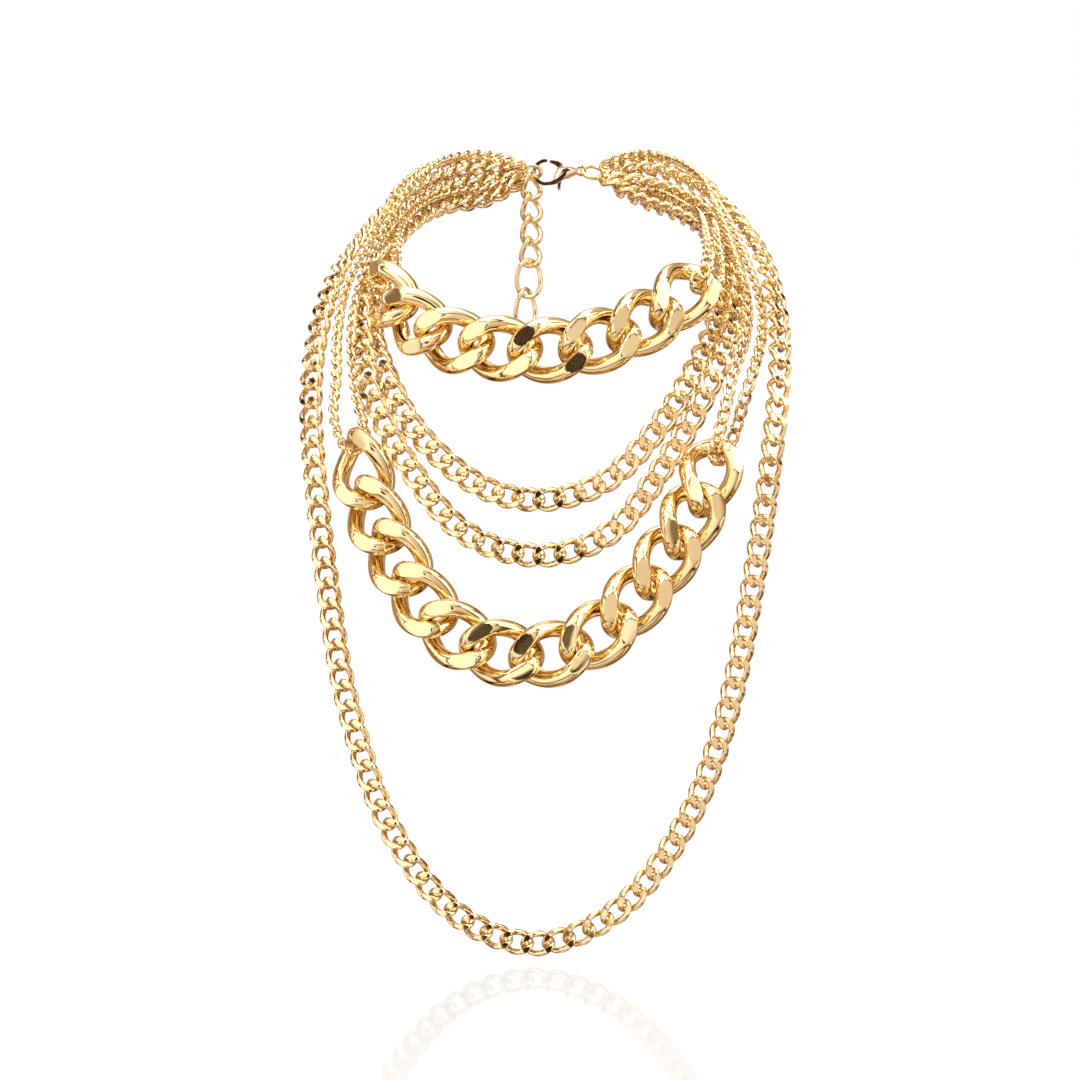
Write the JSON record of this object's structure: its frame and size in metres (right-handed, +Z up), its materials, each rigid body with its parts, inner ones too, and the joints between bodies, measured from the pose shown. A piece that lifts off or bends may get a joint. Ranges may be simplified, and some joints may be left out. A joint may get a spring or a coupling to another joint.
{
  "type": "multi strand chain necklace",
  "caption": "Layered chain necklace held in its worn shape: medium curb chains, two short chains of chunky ground links on doubled fine chains, one lobster clasp and an extender.",
  "frame": {"origin": "at the nape, just right of the middle of the clasp's hook, where the worn necklace rests on the back of the neck", "axes": "+Z up as worn, -Y towards the wearer's front, where the long chain hangs, +X to the right as seen from the front"},
  "size_m": [0.137, 0.1382, 0.218],
  "materials": {
    "gold_chunky": "polished, ground flats",
    "gold_chain": "polished, ground flats",
    "gold_fine": "polished",
    "gold_findings": "polished",
    "gold_clasp": "polished"
  },
  "bodies": {
    "necklace": {"clasp_body": "gold_clasp", "left_ring": "gold_findings", "right_ring": "gold_findings", "extender_chain": "gold_findings", "long_chain": "gold_chain", "middle_chain": "gold_chain", "inner_chain": "gold_chain", "top_fine_left": "gold_fine", "top_fine_right": "gold_fine", "lower_fine_left": "gold_fine", "lower_fine_right": "gold_fine", "top_link_01": "gold_chunky", "top_link_02": "gold_chunky", "top_link_03": "gold_chunky", "top_link_04": "gold_chunky", "top_link_05": "gold_chunky", "top_link_06": "gold_chunky", "top_link_07": "gold_chunky", "top_link_08": "gold_chunky", "lower_link_01": "gold_chunky", "lower_link_02": "gold_chunky", "lower_link_03": "gold_chunky", "lower_link_04": "gold_chunky", "lower_link_05": "gold_chunky", "lower_link_06": "gold_chunky", "lower_link_07": "gold_chunky", "lower_link_08": "gold_chunky", "lower_link_09": "gold_chunky", "lower_link_10": "gold_chunky", "lower_link_11": "gold_chunky", "lower_link_12": "gold_chunky"},
    "gate": {"clasp_lever": "gold_clasp"}
  },
  "joints": [
    {"name": "gate_pivot", "type": "hinge", "parent": "necklace", "child": "gate", "pos_m": [0.0042, 0, 0.0009], "axis": [0, -1, 0], "range_deg": [0, 25], "stiffness_Nm_per_rad": 0.014, "springref_deg": -11.46}
  ]
}
